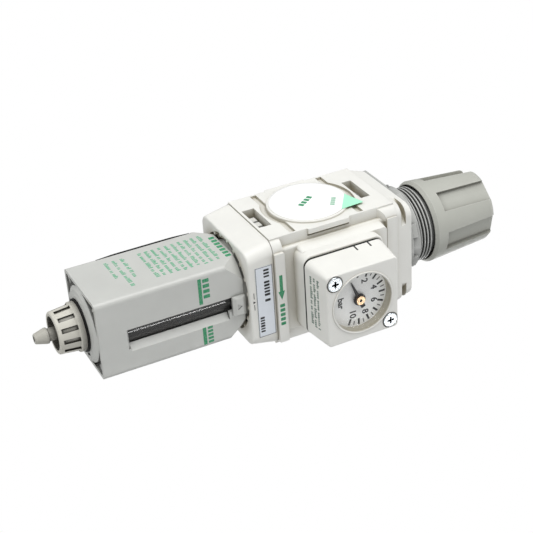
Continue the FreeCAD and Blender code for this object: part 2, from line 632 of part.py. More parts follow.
def gauge_pointer():
    """Tapered needle at the zero mark, with a round boss and a short broad tail."""
    y0 = DIAL_Y - 1.1
    tip = [V(-0.75, y0, 0), V(-0.16, y0, 7.4), V(0.16, y0, 7.4), V(0.75, y0, 0)]
    points = tip + [V(0.75, y0, -3.4), V(-0.75, y0, -3.4)]
    needle = union([prism(points, V(0, 0.35, 0)), cyl_y(POINTER_BOSS_R, y0, y0 + 0.35)])
    shaft = cyl_y(0.6, y0, -27.5)
    shape = union([needle, shaft])
    shape.rotate(V(0, 0, 0), V(0, 1, 0), ZERO_CLOCK)
    shape.translate(V(0, 0, GAUGE_Z))
    return shape


def gauge_hub():
    shape = cyl_y(HUB_R, DIAL_Y - 1.9, DIAL_Y - 1.1, z=GAUGE_Z)
    return shape.cut(cyl_y(0.4, DIAL_Y - 3, DIAL_Y - 1.4, z=GAUGE_Z))


def gauge_socket():
    """Stem of the gauge that plugs into the body, with the block that holds the movement."""
    stem = cyl_y(4.1, -26.6, -BOSS_Y + 4.5, z=GAUGE_Z)
    holder = box(-2.0, 2.0, -28.6, -26.6, GAUGE_Z - 2.0, GAUGE_Z + 2.0)
    return union([stem, holder]).cut(cyl_y(0.65, -29, -26.9, z=GAUGE_Z))


def bourdon_tube():
    """Flat curved tube that uncoils with pressure and drives the needle."""
    ring = cyl_y(7.4, -29.5, -27.2, z=GAUGE_Z).cut(cyl_y(6.4, -30, -26, z=GAUGE_Z))
    gap = box(-8, 0, -30, -26, GAUGE_Z - 8, GAUGE_Z)
    foot = box(-0.6, 0.6, -29.0, -27.4, GAUGE_Z - 7.0, GAUGE_Z - 2.0)
    return union([ring.cut(gap), foot])


def blanking_plate():
    """Plate that closes the spare gauge port at the back."""
    front = REAR_BOSS_Y + 0.6
    shape = block(GAUGE_BACK_HALF_X, GAUGE_BACK_HALF_Z, 2.6, on_y, front, front + 3.0, z=GAUGE_Z)
    shape = softened(shape, 0.6, lies_at("y", front + 3.0))
    cuts = corner_holes(SCREW_HEAD_R + 0.15, front + 2.1, front + 4)
    cuts += corner_holes(SCREW_HOLE_R, front - 1, front + 4)
    recess = block(7.0, 7.0, 1.5, on_y, front + 2.5, front + 4, z=GAUGE_Z)
    return shape.cut(Part.makeCompound(cuts + [recess]))


def blanking_gasket():
    shape = block(GAUGE_BACK_HALF_X, GAUGE_BACK_HALF_Z, 2.6, on_y, REAR_BOSS_Y, REAR_BOSS_Y + 0.6, z=GAUGE_Z)
    return shape.cut(Part.makeCompound(corner_holes(SCREW_HOLE_R, REAR_BOSS_Y - 1, REAR_BOSS_Y + 2)))


# ---- module joint pieces in the side pockets ------------------------------------
def rail_clips():
    """Sprung catch with three pads in each lower pocket."""
    low, high = POCKET_LOW
    base = box(POCKET_X, POCKET_X + 0.9, 0.2 - POCKET_HALF_Y, POCKET_HALF_Y - 0.2, low + 0.2, high - 0.2)
    pads = [box(POCKET_X, POCKET_X + 1.7, y - 1.3, y + 1.3, low + 0.9, high - 0.8) for y in (-3.6, 0, 3.6)]
    return Part.makeCompound(both_sides(union([base] + pads)))


def rail_pins():
    """Broad round locking stud, partly seen in each upper pocket."""
    low, high = POCKET_HIGH
    stud = cyl_x(4.9, POCKET_X, POCKET_X + 1.9, y=-0.5, z=low - 2.3)
    room = box(POCKET_X, SIDE_X, 0.1 - POCKET_HALF_Y, POCKET_HALF_Y - 0.1, low + 0.1, high - 0.1)
    return Part.makeCompound(both_sides(stud.common(room)))


# ---- bowl, guard and filter ------------------------------------------------------
def guard_outside():
    square = block(GUARD_HALF, GUARD_HALF, 1.6, on_z, GUARD_LOW, GUARD_TOP)
    limit = turned([(0, GUARD_LOW), (GUARD_SHOULDER[0][0], GUARD_LOW), *GUARD_SHOULDER, (0, GUARD_TOP)])
    return square.common(limit)


def bowl_guard():
    inner = GUARD_HALF - GUARD_WALL
    hollow = block(inner, inner, 1.0, on_z, GUARD_LOW - 1, GUARD_TOP - 1.3)
    hollow_limit = turned([(0, GUARD_LOW - 2), (GUARD_SHOULDER_INSIDE[0][0], GUARD_LOW - 2),
                           *GUARD_SHOULDER_INSIDE, (0, GUARD_SHOULDER_INSIDE[2][1])])
    neck = cyl(GUARD_NECK_R, GUARD_TOP - 1, GUARD_NECK_TOP)
    lug = box(GUARD_NECK_R - 0.8, LUG_R, -2.6, 2.6, BAYONET_LOW, BAYONET_TOP)
    lug = lug.common(cyl(LUG_R, BAYONET_LOW, BAYONET_TOP))
    dome = turned([(0, GUARD_LOW + 1.2), (DOME_R, GUARD_LOW + 1.2), (DOME_R, GUARD_LOW),
                   (DOME_R - 1.2, DOME_LOW + 0.4), (DOME_R - 3.0, DOME_LOW), (0, DOME_LOW)])
    corner_webs = box(-0.4, 0.4, 13.8, 17.2, GUARD_LOW + 0.4, GUARD_LOW + 2.2)
    webs = [w.common(block(GUARD_HALF - 0.4, GUARD_HALF - 0.4, 1.2, on_z, GUARD_LOW, GUARD_LOW + 5))
            for w in polar(corner_webs, 4, 45)]
    shape = union([guard_outside(), neck])
    shape = shape.cut(hollow.common(hollow_limit)).cut(cyl(NECK_BORE_R, GUARD_LOW - 1, GUARD_NECK_TOP + 1))
    shape = union([shape, dome] + webs + polar(lug, 4))
    slot_x0 = SLOT_X - SLOT_HALF
    y_out = -GUARD_HALF - 1
    y_in = 0.1 - inner
    # a lip along the slot's far side slopes in towards the bowl; the near end is bevelled
    run = (SLOT_LIP_OUT - SLOT_LIP_IN) / (SLOT_LIP_Y + GUARD_HALF)
    lip_low = SLOT_LOW - 0.9
    skin = 0.1 - GUARD_HALF
    lip = prism([V(SLOT_LIP_OUT + 1.0, skin, lip_low), V(SLOT_LIP_IN + 1.1, SLOT_LIP_Y, lip_low),
                 V(SLOT_LIP_IN, SLOT_LIP_Y, lip_low), V(SLOT_LIP_IN, skin, lip_low)],
                V(0, 0, SLOT_BEVEL_TOP - lip_low))
    shape = union([shape, lip])
    slope = prism([V(SLOT_LIP_OUT + run, y_out, SLOT_LOW), V(SLOT_LIP_IN, SLOT_LIP_Y, SLOT_LOW),
                   V(slot_x0, SLOT_LIP_Y, SLOT_LOW), V(slot_x0, y_out, SLOT_LOW)],
                  V(0, 0, SLOT_BEVEL_TOP - SLOT_LOW))
    slot = box(slot_x0, SLOT_LIP_IN - 1.0, y_out, -NECK_BORE_R + 2.0, SLOT_LOW, GUARD_TOP - 1.3)
    end_bevel = prism([V(slot_x0, y_out, SLOT_LOW + 0.1), V(slot_x0, y_out, SLOT_LOW - 1.3),
                       V(slot_x0, y_in, SLOT_LOW), V(slot_x0, y_in, SLOT_LOW + 0.1)],
                      V(SLOT_LIP_IN - slot_x0 + 1.0, 0, 0))
    rear_window = box(-GUARD_HALF - 1, 4.0, inner - 0.2, GUARD_HALF + 1, SLOT_LOW, -36.8)
    drain_hole = cyl(5.2, DOME_LOW - 1, GUARD_LOW + 2)
    vent = box(9.0, 9.9, -1.3, 1.3, DOME_LOW - 1, GUARD_LOW + 2)
    vents = [turned_copy(vent, angle) for angle in (-27, 117)]
    return shape.cut(Part.makeCompound([slot, slope, end_bevel, rear_window, drain_hole, *vents]))


def bowl():
    """Clear cup with a seal groove round its head and a spigot for the drain below."""
    inner = BOWL_R - BOWL_WALL
    bore = DRAIN_STEM_R + CLEAR
    head_top = SEAL_RING_Z - 0.7
    outside = [(bore, SPIGOT_LOW), (SPIGOT_R, SPIGOT_LOW), (SPIGOT_R, BOWL_LOW + 0.6),
               (8.5, BOWL_LOW + 0.6), (10.6, BOWL_LOW + 1.8), (BOWL_R, BOWL_LOW + 4.2),
               (BOWL_R, BOWL_SHOULDER), (BOWL_HEAD_R, BOWL_SHOULDER + 0.6), (BOWL_HEAD_R, head_top),
               (BOWL_HEAD_R - 1, head_top), (BOWL_HEAD_R - 1, BOWL_TOP - 0.6), (10.8, BOWL_TOP)]
    inside = [(inner, BOWL_TOP), (inner, BOWL_LOW + 4.8), (8.8, BOWL_LOW + 3.0),
              (5.4, BOWL_LOW + 2.0), (bore, BOWL_LOW + 2.0)]
    return turned(outside + inside)


def bowl_oring():
    return Part.makeTorus(BOWL_HEAD_R - 0.35, 0.62, V(0, 0, SEAL_RING_Z))


def lock_spring():
    """Leaf behind the lock button, held by the guard wall above the slot."""
    inner_wall = GUARD_HALF - GUARD_WALL
    return box(SLOT_X - 4.2, SLOT_X + 3.0, -inner_wall, 0.25 - inner_wall, BUTTON_LOW + 0.6, BUTTON_LOW + 2.2)


def lock_button():
    """Pad outside the guard wall with a shank that slides in the slot."""
    low = BUTTON_LOW
    high = GUARD_TOP + 0.1
    outer = -GUARD_HALF - 1.6
    pad = block(3.6, 2.25, 0.5, on_y, outer + 0.6, -GUARD_HALF - GAP, x=SLOT_X, z=(low + high) / 2)
    crown = flared((2.9, 1.2), (3.6, 2.25), (0.45, 0.45), on_y, outer, outer + 0.6,
                   x=SLOT_X, z=(low + high) / 2)
    shank = box(SLOT_X - SLOT_HALF + 0.2, SLOT_X + SLOT_HALF - 1.7, -GUARD_HALF - GAP, -12.6, low + 0.4,
                GUARD_TOP - 1.6)
    arrow = prism([V(SLOT_X - 1.0, outer - 0.1, low + 1.5), V(SLOT_X + 1.0, outer - 0.1, low + 1.5),
                   V(SLOT_X, outer - 0.1, low + 3.0)], V(0, 0.3, 0))
    return union([pad, crown, shank]).cut(arrow)


def baffle():
    """Ring of slanted vanes that spins the incoming air."""
    ring = cyl(BAFFLE_R, BAFFLE_LOW, CAVITY_TOP)
    ring = ring.cut(cyl(ELEMENT_R + 0.1, BAFFLE_LOW - 1, CAVITY_TOP - 1.0))
    ring = ring.cut(cyl(STEM_BORE_R, BAFFLE_LOW - 1, CAVITY_TOP + 1))
    slit_low = BAFFLE_LOW + 1.0
    slit_high = CAVITY_TOP - 2.4
    slit = box(ELEMENT_R - 1.6, BAFFLE_R + 2.6, -0.6, 0.6, slit_low, slit_high)
    slit.rotate(V(ELEMENT_R, 0, (slit_low + slit_high) / 2), V(1, 0, 0), 25)
    feed = cyl(INLET_DROP_R, CAVITY_TOP - 2, CAVITY_TOP + 1, x=INLET_DROP_X)
    return ring.cut(Part.makeCompound(polar(slit, 12) + [feed]))


def filter_element():
    bore = cyl(ELEMENT_BORE_R, ELEMENT_LOW - 1, ELEMENT_TOP + 1)
    return cyl(ELEMENT_R, ELEMENT_LOW, ELEMENT_TOP).cut(bore)


def element_retainer():
    """Shroud under the element with the tie rod that screws up into the body."""
    dish = turned([(0, ELEMENT_LOW - 1.6), (7.6, ELEMENT_LOW - 1.6), (8.5, ELEMENT_LOW - 6.4),
                   (9.4, ELEMENT_LOW - 6.4), (8.6, ELEMENT_LOW - 0.4), (8.2, ELEMENT_LOW), (0, ELEMENT_LOW)])
    rod = cyl(TIE_ROD_R, ELEMENT_LOW - 1, TIE_ROD_TOP)
    arm = box(-0.8, 0.8, 0, STEM_BORE_R, TIE_ROD_TOP - 2, TIE_ROD_TOP)
    arm = arm.common(cyl(STEM_BORE_R, TIE_ROD_TOP - 2, TIE_ROD_TOP))
    return union([dish, rod] + polar(arm, 3))


# ---- drain -------------------------------------------------------------------
def drain_washer():
    return cyl(8.7, DRAIN_TOP + 0.15, DOME_LOW).cut(cyl(5.4, DRAIN_TOP - 1, DOME_LOW + 1))


def drain_oring():
    return Part.makeTorus(3.0, 0.45, V(0, 0, BOWL_LOW + 2.5))


def drain_knob():
    step = DRAIN_TOP - 1.6
    outline = [(0, DRAIN_LOW), (DRAIN_R_LOW - 0.3, DRAIN_LOW), (DRAIN_R_LOW, DRAIN_LOW + 0.3),
               (DRAIN_R_LOW + 0.55, step - 0.6), (DRAIN_R_TOP, step), (DRAIN_R_TOP, DRAIN_TOP),
               (0, DRAIN_TOP)]
    low, high = DRAIN_LOW + 1.2, step - 0.3
    floor_low = DRAIN_R_LOW - DRAIN_GROOVE_DEPTH
    half = DRAIN_GROOVE_WIDTH / 2
    groove = prism([V(floor_low, -half, low), V(DRAIN_R_TOP + 1, -half, low), V(DRAIN_R_TOP + 1, -half, high),
                    V(floor_low + 0.55, -half, high)], V(0, DRAIN_GROOVE_WIDTH, 0))
    cup_top = DRAIN_LOW + 3.4
    cup = turned([(0, DRAIN_LOW - 1), (DRAIN_R_LOW - 1.3, DRAIN_LOW - 1), (DRAIN_R_LOW - 1.5, cup_top),
                  (0, cup_top)])
    shape = turned(outline).cut(Part.makeCompound(polar(groove, DRAIN_GROOVES) + [cup]))
    collar_top = SPIGOT_LOW - GAP
    shape = union([shape, cyl(SPIGOT_R - 0.6, DRAIN_TOP - 1, collar_top)])
    return shape.cut(cyl(DRAIN_STEM_R + 0.1, DRAIN_LOW, collar_top + 1))


def drain_stem():
    """Hollow stem through the bowl with the hose nipple at its end."""
    head_low = BOWL_LOW + 3.0
    barb = [(0.9, NIPPLE_TIP), (1.5, NIPPLE_TIP), (1.7, NIPPLE_TIP + 0.3), (BARB_R, BARB_LOW),
            (BARB_R, BARB_TOP), (NIPPLE_R, BARB_TOP + 0.4), (NIPPLE_R, DRAIN_LOW + 1.6)]
    head = [(DRAIN_STEM_R, DRAIN_LOW + 2.0), (DRAIN_STEM_R, head_low), (3.6, head_low),
            (3.6, head_low + 1.2), (2.4, head_low + 2.0), (0.9, head_low + 2.0)]
    return turned(barb + head)


SUBPARTS = [
    body, front_strips, bowl_collar, name_label, bonnet_cover, bonnet, diaphragm, diaphragm_plate,
    valve_rod, poppet_seal, valve_seat, spring_retainer, spring_seat, regulating_spring, valve_spring,
    adjusting_screw, adjusting_knob, gauge_gasket, gauge_housing, gauge_dial, gauge_lens, gauge_pointer,
    gauge_hub, gauge_socket, bourdon_tube, gauge_screws, blanking_plate, blanking_gasket,
    blanking_screws, rail_clips, rail_pins, bowl_guard, bowl, bowl_oring, lock_spring, lock_button,
    baffle, filter_element, element_retainer, drain_washer, drain_oring, drain_knob, drain_stem,
]

os.makedirs("parts", exist_ok=True)
for make in SUBPARTS:
    name = make.__name__
    solid = make()
    solid.translate(V(STEM_X, 0, 0))
    if not solid.isValid() or not solid.Solids:
        print("NOT SOUND", name)
    print(name, len(solid.Solids), "solids", round(solid.Volume, 1), "mm3")
    solid.exportStep("parts/" + name + ".step")
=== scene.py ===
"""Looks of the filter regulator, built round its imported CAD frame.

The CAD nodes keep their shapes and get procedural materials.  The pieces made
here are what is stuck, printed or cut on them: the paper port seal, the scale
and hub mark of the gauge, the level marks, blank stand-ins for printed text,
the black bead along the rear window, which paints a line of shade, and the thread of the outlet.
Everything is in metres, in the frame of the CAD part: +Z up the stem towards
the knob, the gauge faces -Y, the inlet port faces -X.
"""

import json
import math
import random

import bmesh
import bpy
from mathutils import Matrix, Vector


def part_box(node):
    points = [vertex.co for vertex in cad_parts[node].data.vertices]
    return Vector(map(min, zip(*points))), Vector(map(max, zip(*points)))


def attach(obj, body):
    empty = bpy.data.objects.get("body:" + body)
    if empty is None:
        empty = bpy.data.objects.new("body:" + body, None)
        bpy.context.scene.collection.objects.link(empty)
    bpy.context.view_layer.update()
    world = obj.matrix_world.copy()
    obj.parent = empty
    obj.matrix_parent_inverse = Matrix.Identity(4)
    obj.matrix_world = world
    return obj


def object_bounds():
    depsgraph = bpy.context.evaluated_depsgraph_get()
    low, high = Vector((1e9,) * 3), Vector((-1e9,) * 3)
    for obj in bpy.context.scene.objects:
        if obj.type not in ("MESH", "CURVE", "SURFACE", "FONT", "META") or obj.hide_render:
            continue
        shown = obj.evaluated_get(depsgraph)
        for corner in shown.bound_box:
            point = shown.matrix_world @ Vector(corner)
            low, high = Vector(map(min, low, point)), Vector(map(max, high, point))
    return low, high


MM = 0.001
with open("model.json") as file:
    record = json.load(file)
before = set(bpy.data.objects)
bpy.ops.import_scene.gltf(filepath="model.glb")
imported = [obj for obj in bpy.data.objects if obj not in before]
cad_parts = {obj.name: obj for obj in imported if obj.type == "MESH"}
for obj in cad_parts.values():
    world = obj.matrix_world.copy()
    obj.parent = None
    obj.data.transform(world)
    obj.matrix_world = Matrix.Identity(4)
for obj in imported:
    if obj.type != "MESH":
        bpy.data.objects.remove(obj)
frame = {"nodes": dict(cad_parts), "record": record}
CAD_LOW, CAD_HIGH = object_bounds()

# ---- sizes, mm unless a name says otherwise ---------------------------------
CAMERA_LENS = 87.99                   # focal length
CAMERA_SENSOR = 36.0
CAMERA_AIM = (20.4, 1.3, -15.6)
CAMERA_AZIMUTH = -32.94               # degrees
CAMERA_ELEVATION = -21.02             # degrees
CAMERA_ROLL = 72.88                   # degrees
CAMERA_DISTANCE = 430.0
FLOOR_DROP = 190.0                    # floor below the lowest point of the object
WORLD_STRENGTH = 0.37                 # of the light the surroundings give, no unit

INK = 0.03                            # thickness of a printed mark
SINK = 0.02                           # how far a mark's back lies in its surface
LUG_PROUD = 1.3                       # the bayonet lugs stand out past the guard's faces
PORT_R = 5.75                         # mouth of a port
THREAD_PITCH = 1.337                  # quarter-inch pipe thread
PAD_START = 16.35                     # the catch's white pads begin this far from the stem
PAD_FULL = 16.5
ZERO_CLOCK = math.radians(-112.5)     # clock angle of the zero mark of the gauge
CLOCK_PER_BAR = math.radians(22.5)
FULL_SCALE = 10                       # bar

# ---- shader settings, no unit --------------------------------------------------
NOISE_LOW = 0.3                       # most of a noise's values lie between these
NOISE_HIGH = 0.7
CREVICE_SAMPLES = 8
BEVEL_SAMPLES = 4
MIX_INPUTS = (0, 6, 7)                # factor and two colours, on a Mix node that mixes colours
MIX_RESULT = 2
RUBBED_EDGE_AND_HIGHLIGHT = (0.9, 0.9, 0.88, 1.0)        # polished edge of a moulding, lighter also as a painted highlight

# ---- places taken from the frame ---------------------------------------------
KNOB_LOW, KNOB_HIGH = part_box("adjusting_knob")
GUARD_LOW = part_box("bowl_guard")[0]
BODY_LOW, BODY_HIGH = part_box("body")
LABEL_LOW, LABEL_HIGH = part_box("name_label")
COLLAR_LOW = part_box("bowl_collar")[0]
STRIP_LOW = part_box("front_strips")[0]
GAUGE_LOW, GAUGE_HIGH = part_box("gauge_housing")
DIAL_LOW, DIAL_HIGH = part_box("gauge_dial")
STEM = (KNOB_LOW + KNOB_HIGH) / 2
GUARD_FRONT_Y = GUARD_LOW.y + LUG_PROUD * MM
GUARD_SIDE_X = GUARD_LOW.x + LUG_PROUD * MM


# ---- node trees ----------------------------------------------------------------
class Shade:
    """One material's node tree, with short calls for what every finish uses."""

    def __init__(self, name, **fixed):
        self.material = bpy.data.materials.new(name)
        self.material.use_nodes = True
        self.tree = self.material.node_tree
        self.shader = self.tree.nodes["Principled BSDF"]
        self.place = self.add("ShaderNodeTexCoord").outputs["Object"]
        for socket, value in fixed.items():
            self.shader.inputs[socket.replace("_", " ")].default_value = value

    def add(self, kind, inputs=None, **settings):
        made = self.tree.nodes.new(kind)
        for name, value in settings.items():
            setattr(made, name, value)
        for name, value in (inputs or {}).items():
            self.feed(value, made.inputs[name])
        return made

    def feed(self, value, socket):
        if isinstance(value, bpy.types.NodeSocket):
            self.tree.links.new(value, socket)
        else:
            socket.default_value = value

    def noise(self, size, detail=2.0, rough=0.5, stretch=None):
        """Noise whose features are about size mm across; stretch scales the axes first."""
        place = self.place
        if stretch:
            mapping = self.add("ShaderNodeMapping", {"Vector": place, "Scale": stretch})
            place = mapping.outputs["Vector"]
        made = self.add("ShaderNodeTexNoise", {"Vector": place, "Scale": 1 / (size * MM),
                                               "Detail": detail, "Roughness": rough})
        return made.outputs["Fac"]

    def between(self, value, low, high, to_low, to_high):
        """value from low to high, spread from to_low to to_high."""
        made = self.add("ShaderNodeMapRange", {"Value": value, "From Min": low, "From Max": high,
                                               "To Min": to_low, "To Max": to_high})
        return made.outputs["Result"]

    def drift(self, size, low, high, detail=2.0, rough=0.5, stretch=None):
        """Noise about size mm across that wanders from low to high."""
        return self.between(self.noise(size, detail, rough, stretch), NOISE_LOW, NOISE_HIGH, low, high)

    def mix(self, factor, first, second):
        made = self.add("ShaderNodeMix", data_type="RGBA")
        for value, index in zip((factor, first, second), MIX_INPUTS):
            self.feed(value, made.inputs[index])
        return made.outputs[MIX_RESULT]

    def crevice(self, reach, own_shape):
        """1 in open air, falling to 0 deep in corners within reach mm; own_shape ignores neighbours."""
        made = self.add("ShaderNodeAmbientOcclusion", {"Distance": reach * MM}, samples=CREVICE_SAMPLES,
                        only_local=own_shape)
        return made.outputs["AO"]

    def rounded(self, radius):
        """Normals as they would be if every edge were rounded to radius mm."""
        made = self.add("ShaderNodeBevel", {"Radius": radius * MM}, samples=BEVEL_SAMPLES)
        return made.outputs["Normal"]

    def worn_edge(self, radius):
        """0 on open faces, rising to 1 along sharp outside and inside edges."""
        surface = self.add("ShaderNodeNewGeometry").outputs["Normal"]
        same = self.add("ShaderNodeVectorMath", {0: self.rounded(radius), 1: surface},
                        operation="DOT_PRODUCT")
        return self.between(same.outputs["Value"], 0.995, 0.9, 0.0, 1.0)

    def bump(self, height, depth, edge=0.0):
        """Normals from a height, over edges rounded by edge mm."""
        made = self.add("ShaderNodeBump", {"Height": height, "Distance": depth * MM, "Strength": 1.0})
        if edge:
            self.feed(self.rounded(edge), made.inputs["Normal"])
        return made.outputs["Normal"]

    def paint(self, **sockets):
        for socket, value in sockets.items():
            self.feed(value, self.shader.inputs[socket.replace("_", " ")])
        return self.material


def shaded(colour, factor):
    return tuple(c * factor for c in colour[:3]) + (1.0,)


def moulded_plastic(name, colour, painted_shade_colour, rough=0.42, grain=0.35, grain_depth=0.012, edge=0.22,
                    reach=3.2, edge_highlight_and_wear=0.12, full_shade_at=0.25, no_shade_at=0.95, own_shape=False):
    """Injection-moulded plastic: faint mottling, spark-eroded grain, edges lightened as wear and as painted
    highlight, painted shade in corners.
    """
    s = Shade(name, Specular_IOR_Level=0.45)
    cloud = s.drift(9.0, 0.0, 1.0, detail=3.0)
    base = s.mix(cloud, shaded(colour, 0.95), shaded(colour, 1.0))
    # edges lightened partly as wear and partly as a painted highlight
    wear_and_highlight = s.between(s.worn_edge(0.3), 0.0, 1.0, 0.0, edge_highlight_and_wear)
    base = s.mix(wear_and_highlight, base, RUBBED_EDGE_AND_HIGHLIGHT)
    # painted shade: the colour darkens towards the shade colour in corners and recesses within reach mm
    unshaded = s.between(s.crevice(reach, own_shape), full_shade_at, no_shade_at, 0.0, 1.0)
    base = s.mix(unshaded, (*painted_shade_colour, 1.0), base)
    grains = s.noise(grain, 2.0, 0.6)
    gloss = s.drift(3.0, rough - 0.05, rough + 0.07, detail=4.0)
    return s.paint(Base_Color=base, Roughness=gloss, Normal=s.bump(grains, grain_depth, edge))


def rubber(name):
    s = Shade(name, Specular_IOR_Level=0.3)
    dust = s.between(s.noise(1.2, 4.0), 0.45, 0.75, 0.0, 1.0)
    base = s.mix(dust, (0.004, 0.004, 0.004, 1), (0.014, 0.014, 0.013, 1))
    rough = s.drift(0.5, 0.55, 0.75)
    return s.paint(Base_Color=base, Roughness=rough, Normal=s.bump(s.noise(0.25), 0.01))


def clip_plastic(name):
    """Black sprung catch whose three proud pads are white; the pads reach furthest along X."""
    s = Shade(name, Specular_IOR_Level=0.4)
    along_x = s.add("ShaderNodeSeparateXYZ", {0: s.place}).outputs["X"]
    off_stem = s.add("ShaderNodeMath", {0: along_x, 1: STEM.x}, operation="SUBTRACT")
    reach = s.add("ShaderNodeMath", {0: off_stem.outputs[0]}, operation="ABSOLUTE").outputs[0]
    pad = s.between(reach, PAD_START * MM, PAD_FULL * MM, 0.0, 1.0)
    base = s.mix(pad, (0.012, 0.012, 0.012, 1), (0.66, 0.66, 0.63, 1))
    rough = s.drift(0.6, 0.35, 0.5)
    return s.paint(Base_Color=base, Roughness=rough, Normal=s.bump(s.noise(0.4), 0.01, 0.1))


def metal(name, colour, rough, stretch=(1, 1, 1)):
    """Bare or plated metal, with painted shade in its own hollows; stretch draws the noise out along the
    turning or rolling marks.
    """
    s = Shade(name, Metallic=1.0)
    streak = s.noise(0.4, detail=4.0, rough=0.6, stretch=stretch)
    tarnish = s.between(s.noise(2.5, 3.0), 0.35, 0.7, 0.0, 1.0)
    base = s.mix(tarnish, shaded(colour, 1.0), shaded(colour, 0.86))
    # painted shade: near black in the metal's own hollows within 1.6 mm
    unshaded = s.between(s.crevice(1.6, own_shape=True), 0.35, 0.8, 0.0, 1.0)
    base = s.mix(unshaded, (0.02, 0.02, 0.022, 1.0), base)
    gloss = s.between(streak, 0.3, 0.7, rough - 0.06, rough + 0.1)
    return s.paint(Base_Color=base, Roughness=gloss, Normal=s.bump(streak, 0.006, 0.08))


def smoked_plastic(name):
    """Clear polycarbonate seen as a dark, glossy, half see-through wall."""
    s = Shade(name, Alpha=0.55, Specular_IOR_Level=0.7, Coat_Weight=0.8, Coat_Roughness=0.05)
    flow = s.drift(6.0, 0.0, 1.0, detail=3.0, rough=0.5, stretch=(1, 1, 0.25))
    base = s.mix(flow, (0.075, 0.072, 0.070, 1), (0.11, 0.108, 0.105, 1))
    rough = s.drift(2.0, 0.05, 0.09)
    return s.paint(Base_Color=base, Roughness=rough, Normal=s.bump(s.noise(12.0, 1.0), 0.002))


def clear_plastic(name):
    """The thin window of the gauge."""
    s = Shade(name, Alpha=0.03, Specular_IOR_Level=0.5)
    haze = s.drift(3.0, 0.0, 1.0, detail=3.0)
    base = s.mix(haze, (0.24, 0.26, 0.27, 1), (0.30, 0.31, 0.32, 1))
    rough = s.drift(1.0, 0.03, 0.08)
    return s.paint(Base_Color=base, Roughness=rough, Normal=s.bump(s.noise(6.0), 0.01))


def translucent(name, colour):
    """Unfilled nylon: light soaks in a little."""
    s = Shade(name, Subsurface_Weight=0.3, Subsurface_Scale=0.002)
    base = s.mix(s.drift(2.0, 0.0, 1.0), shaded(colour, 0.93), shaded(colour, 1.0))
    rough = s.drift(1.0, 0.28, 0.4)
    return s.paint(Base_Color=base, Roughness=rough, Normal=s.bump(s.noise(0.8), 0.01, 0.15))


def sintered(name, colour):
    """Porous plastic: fused beads with dark pores."""
    s = Shade(name, Specular_IOR_Level=0.2)
    cells = s.add("ShaderNodeTexVoronoi", {"Vector": s.place, "Scale": 1 / (0.35 * MM)})
    pore = s.between(cells.outputs["Distance"], 0.35, 0.75, 0.0, 1.0)
    base = s.mix(pore, shaded(colour, 1.0), shaded(colour, 0.45))
    rough = s.between(pore, 0.0, 1.0, 0.7, 0.95)
    depth = s.between(pore, 0.0, 1.0, 1.0, 0.0)
    return s.paint(Base_Color=base, Roughness=rough, Normal=s.bump(depth, 0.06))


def printed_film(name, colour, rough=0.32, fibre=0.0):
    """Label film, or paper when fibre is given: a hint of cloudiness and, on paper, fibres."""
    s = Shade(name, Specular_IOR_Level=0.35)
    cloud = s.drift(1.5, 0.0, 1.0, detail=4.0, rough=0.6, stretch=(1, 0.6, 1))
    base = s.mix(cloud, shaded(colour, 0.965), shaded(colour, 1.0))
    gloss = s.drift(0.8, rough - 0.04, rough + 0.08, detail=3.0)
    fibres = s.noise(0.25, detail=5.0, rough=0.7)
    return s.paint(Base_Color=base, Roughness=gloss, Normal=s.bump(fibres, 0.004 + fibre))


def ink(name, colour, rough=0.5, patchy=0.12):
    """Pad-printed ink: slightly uneven cover and gloss."""
    s = Shade(name, Specular_IOR_Level=0.35)
    cover = s.between(s.noise(0.45, 3.0), 0.35, 0.65, 0.0, 1.0)
    base = s.mix(cover, shaded(colour, 1.0), tuple(c + (0.8 - c) * patchy for c in colour) + (1.0,))
    gloss = s.drift(0.3, rough - 0.05, rough + 0.08)
    return s.paint(Base_Color=base, Roughness=gloss, Normal=s.bump(s.noise(0.2), 0.003))


def stage_paint(name, colour):
    s = Shade(name, Specular_IOR_Level=0.1)
    cloud = s.drift(120.0, 0.0, 1.0, detail=3.0)
    return s.paint(Base_Color=s.mix(cloud, shaded(colour, 0.985), shaded(colour, 1.0)),
                   Roughness=s.drift(15.0, 0.85, 0.95))


